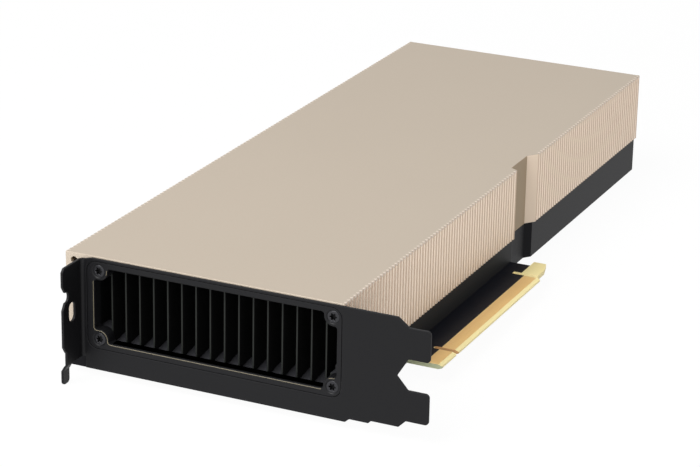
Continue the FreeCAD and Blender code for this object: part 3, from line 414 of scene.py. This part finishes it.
# %% Fins, copper and the smaller parts
fin_metal = finish_of("fin_aluminium", colour(150, 150, 152), roughness=0.4, metallic=0.9, grain=0.3,
                      bump=0.04)
copper = finish_of("sink_copper", colour(190, 120, 90), roughness=0.35, metallic=0.9, grain=0.3, bump=0.04)
plated = finish_of("plated_steel", colour(170, 170, 170), roughness=0.3, metallic=0.9, grain=0.2, bump=0.03)
dark_screw = finish_of("dark_screw", colour(46, 46, 49), roughness=0.3, metallic=0.6, grain=0.2, bump=0.03)
laminate = finish_of("package_laminate", colour(70, 110, 80), roughness=0.4, grain=0.3, bump=0.03)
silicon = finish_of("silicon", colour(90, 93, 100), roughness=0.12, metallic=0.5, grain=0.3, bump=0.01)
compound = finish_of("mould_compound", colour(42, 42, 45), roughness=0.5, grain=0.2, bump=0.05)
ferrite = finish_of("pressed_powder", colour(95, 95, 95), roughness=0.7, grain=0.3, bump=0.1)
pad = finish_of("thermal_pad", colour(130, 150, 160), roughness=0.8, grain=0.4, bump=0.08)
INSIDE = {"heat_sink_fins": fin_metal, "heat_sink_base": copper, "board_standoffs": plated,
          "heat_sink_standoffs": plated, "package_stiffener": plated, "tray_screws": dark_screw,
          "clamp_screws": dark_screw, "front_frame_screws": dark_screw, "processor_substrate": laminate,
          "processor_die": silicon, "memory_stacks": compound, "bulk_capacitors": compound,
          "power_inductors": ferrite, "thermal_pads": pad}
for piece, material in INSIDE.items():
    dress(piece, material)
print("undressed nodes:", [name for name in nodes if not nodes[name].data.materials])

# %% [markdown]
# ## Screws with star sockets
# Four countersunk screws hold the frame. A spun profile would do for the head, but the socket is a six-pointed
# star. So each screw is a row of rings along its axis, from the floor of the socket, over the head, to the end of
# the shank. A ring is a circle, or a circle whose points are moved in and out into a soft star. Bridging each
# pair of rings closes the surface between them. The section gives each ring's depth, radius and star.


# %% A ring of a screw, and a piece from a mesh
RING_POINTS = 72
STAR_POINTS = 6
SHARP_ANGLE = math.radians(35)


def ring(mesh, x, y, z, radius, star=0.0):
    """The edges of a closed ring round an axis along Y. star is how far its points stand out."""
    place = Matrix.Translation((x, y, z)) @ Matrix.Rotation(math.pi / 2, 4, "X")
    made = bmesh.ops.create_circle(mesh, segments=RING_POINTS, radius=radius, matrix=place)
    for vert in made["verts"]:
        angle = math.atan2(vert.co.z - z, vert.co.x - x)
        share = 1 + star / radius * math.cos(STAR_POINTS * angle)
        vert.co.x = x + (vert.co.x - x) * share
        vert.co.z = z + (vert.co.z - z) * share
    return list({edge for vert in made["verts"] for edge in vert.link_edges})


def piece_of(name, mesh, *materials):
    """An object from a closed mesh, smooth but for its sharp edges, with its materials."""
    bmesh.ops.recalc_face_normals(mesh, faces=mesh.faces)
    data = bpy.data.meshes.new(name)
    mesh.to_mesh(data)
    mesh.free()
    data.shade_smooth()
    data.set_sharp_from_angle(angle=SHARP_ANGLE)
    for material in materials:
        data.materials.append(material)
    piece = bpy.data.objects.new(name, data)
    bpy.context.scene.collection.objects.link(piece)
    return piece


# %% Frame screws
SOCKET_RADIUS, SOCKET_STAR, SOCKET_DEPTH = 1.05 * MM, 0.22 * MM, 1.3 * MM
SOCKET_TAPER = 0.9
MOUTH_FLARE, MOUTH_STAR = 0.12 * MM, 0.8
MOUTH_DEPTH, FLARE_DEPTH = 0.1 * MM, 0.01 * MM
FACE_RADIUS = 1.6 * MM
CROWN_RADIUS, CROWN_DEPTH = 1.85 * MM, 0.06 * MM
RIM_DEPTH = 0.25 * MM
SHANK_RADIUS = 1.25 * MM
SOCKET_SHADE_MATERIAL = 1
SECTION = [(SOCKET_DEPTH, SOCKET_RADIUS * SOCKET_TAPER, SOCKET_STAR),
           (MOUTH_DEPTH, SOCKET_RADIUS, SOCKET_STAR),
           (FLARE_DEPTH, SOCKET_RADIUS + MOUTH_FLARE, SOCKET_STAR * MOUTH_STAR),
           (0.0, FACE_RADIUS, 0.0),
           (CROWN_DEPTH, CROWN_RADIUS, 0.0),
           (RIM_DEPTH, HEAD_RADIUS, 0.0),
           (RIM_DEPTH + HEAD_RADIUS - SHANK_RADIUS, SHANK_RADIUS, 0.0),
           (screw_high.y - screw_low.y, SHANK_RADIUS, 0.0)]
screws = bmesh.new()
for x, z in screw_places:
    rings = [ring(screws, x, screw_low.y + depth, z, radius, star) for depth, radius, star in SECTION]
    inside = bmesh.ops.edgeloop_fill(screws, edges=rings[0])["faces"]
    bmesh.ops.edgeloop_fill(screws, edges=rings[-1])
    for near, far in zip(rings, rings[1:]):
        walls = bmesh.ops.bridge_loops(screws, edges=near + far)["faces"]
        if near is rings[0]:
            inside += walls
    # The socket's inside takes the moulded black: a painted shade in the recess.
    for face in inside:
        face.material_index = SOCKET_SHADE_MATERIAL
frame_screws = piece_of("frame_screws", screws, dark_screw, moulded_black)
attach(frame_screws, "root")
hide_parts("front_frame_screws")
print("frame screws:", len(frame_screws.data.polygons), "faces")

# %% [markdown]
# ## The lip over the grooves
# The grooves stop just below the top, where a narrow lip closes them. It gives the cover a straight, softly
# rounded edge. Its section is drawn once for each stretch and extruded along the card. The right side has two
# stretches, one on each side of the latch notch. The lip sits a hair inside the cover's own faces, so that no two
# faces lie in one plane.


# %% Lip along both long sides
LIP_HEIGHT, LIP_DEPTH, LIP_RADIUS, LIP_STEPS = 0.7 * MM, 1.1 * MM, 0.25 * MM, 4
HIDE = 0.005 * MM
NOTCH_START, NOTCH_END = 140.5 * MM, 160.5 * MM
cover_low, cover_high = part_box("top_cover")


def add_lip(mesh, outer_x, inward, start, end):
    """One stretch of lip. inward is 1 on the left side and -1 on the right side."""
    top = cover_high.z - HIDE
    side = outer_x + inward * HIDE
    section = [(side, top - LIP_HEIGHT)]
    for step in range(LIP_STEPS + 1):
        angle = math.pi / 2 * step / LIP_STEPS
        section.append((side + inward * LIP_RADIUS * (1 - math.cos(angle)),
                        top - LIP_RADIUS * (1 - math.sin(angle))))
    section += [(side + inward * LIP_DEPTH, top), (side + inward * LIP_DEPTH, top - LIP_HEIGHT)]
    face = mesh.faces.new([mesh.verts.new((x, start, z)) for x, z in section])
    grown = bmesh.ops.extrude_face_region(mesh, geom=[face])["geom"]
    moved = [item for item in grown if isinstance(item, bmesh.types.BMVert)]
    bmesh.ops.translate(mesh, verts=moved, vec=(0, end - start, 0))


lip = bmesh.new()
add_lip(lip, cover_low.x, 1, cover_low.y + HIDE, cover_high.y - HIDE)
add_lip(lip, cover_high.x, -1, cover_low.y + HIDE, NOTCH_START)
add_lip(lip, cover_high.x, -1, NOTCH_END, cover_high.y - HIDE)
# The lip is a lighter copy of the champagne: a painted highlight along its rounded edge.
lip_highlight_metal = finish_of("lip_anodised_highlight", colour(212, 198, 184), roughness=0.45, metallic=0.3, drift=0.02,
                      drift_size=70.0, grain=0.6, bump=0.01)
cover_lip = piece_of("cover_lip", lip, lip_highlight_metal)
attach(cover_lip, "root")
print("cover lip:", len(cover_lip.data.polygons), "faces in 3 stretches")

# %% [markdown]
# ## Broken edges
# The sheet metal was deburred and the cover lightly rounded, so each edge catches a thin line of light.

# %% Soften the outer pieces
BROKEN_EDGES = {"top_cover": 0.12, "mounting_bracket": 0.2, "front_frame": 0.12, "base_tray": 0.15}
for piece, width in BROKEN_EDGES.items():
    soften(piece, width)
print("softened edges on", len(BROKEN_EDGES), "nodes")

# %% [markdown]
# ## Floor, world and lamps
# The floor and the world are white to the camera and to reflections, and the world is dimmer as a light. That
# keeps the background clean without burning out the pale cover. Three soft area lamps shape the card.


# %% The rays that show the backdrop
def backdrop_rays(tree):
    """1 for the rays that show the backdrop: straight to the camera, off gloss or through a clear piece."""
    path = tree.nodes.new("ShaderNodeLightPath")
    either = calculate(tree, "MAXIMUM", path.outputs["Is Camera Ray"], path.outputs["Is Glossy Ray"])
    return calculate(tree, "MAXIMUM", either, path.outputs["Is Transmission Ray"])


# %% The floor
FLOOR_SIZE = 6.0
FLOOR_GLOW = 0.96
FLOOR_GREY = (0.9, 0.9, 0.9, 1)
floor_mesh = bmesh.new()
bmesh.ops.create_grid(floor_mesh, x_segments=1, y_segments=1, size=FLOOR_SIZE / 2)
bmesh.ops.translate(floor_mesh, verts=floor_mesh.verts, vec=(0, 0, cad_box[0].z))
floor_data = bpy.data.meshes.new("floor")
floor_mesh.to_mesh(floor_data)
floor_mesh.free()
floor = bpy.data.objects.new("floor", floor_data)
bpy.context.scene.collection.objects.link(floor)

floor_material = bpy.data.materials.new("pale_floor")
floor_material.use_nodes = True
tree = floor_material.node_tree
tree.nodes.remove(tree.nodes["Principled BSDF"])
matte = tree.nodes.new("ShaderNodeBsdfDiffuse")
matte.inputs["Color"].default_value = FLOOR_GREY
glow = tree.nodes.new("ShaderNodeEmission")
mixed = tree.nodes.new("ShaderNodeMixShader")
tree.links.new(calculate(tree, "MULTIPLY", backdrop_rays(tree), FLOOR_GLOW), mixed.inputs["Fac"])
tree.links.new(matte.outputs["BSDF"], mixed.inputs[1])
tree.links.new(glow.outputs["Emission"], mixed.inputs[2])
tree.links.new(mixed.outputs["Shader"], tree.nodes["Material Output"].inputs["Surface"])
floor_data.materials.append(floor_material)
print("floor:", FLOOR_SIZE, "m wide, its glow", FLOOR_GLOW)

# %% The world
AMBIENT = 0.3
world = bpy.data.worlds.new("studio")
bpy.context.scene.world = world
world.use_nodes = True
tree = world.node_tree
level = tree.nodes.new("ShaderNodeMapRange")
level.inputs["To Min"].default_value = AMBIENT
level.inputs["To Max"].default_value = 1.0
tree.links.new(backdrop_rays(tree), level.inputs["Value"])
tree.links.new(level.outputs["Result"], tree.nodes["Background"].inputs["Strength"])
tree.nodes["Background"].inputs["Color"].default_value = (1, 1, 1, 1)
print("world: ambient light", AMBIENT)

# %% The lamps
middle = (cad_box[0] + cad_box[1]) / 2


def add_lamp(name, place, size, power, mirrored=True):
    """A square area lamp at a place in metres, turned towards the card. Gloss shows it if mirrored is true."""
    data = bpy.data.lights.new(name, "AREA")
    data.size = size
    data.energy = power
    lamp = bpy.data.objects.new(name, data)
    direction = middle - Vector(place)
    lamp.matrix_world = Matrix.Translation(place) @ direction.to_track_quat("-Z", "Y").to_matrix().to_4x4()
    bpy.context.scene.collection.objects.link(lamp)
    lamp.visible_glossy = mirrored
    print("lamp", name, "stands", round(direction.length, 2), "m away")


add_lamp("key", (-0.35, -1.0, 1.5), size=1.1, power=42)
add_lamp("side", (1.5, -0.2, 0.7), size=0.8, power=0.5)
add_lamp("front", (0.3, -1.7, 0.5), size=1.0, power=22, mirrored=False)

bpy.context.scene.view_settings.view_transform = "Standard"
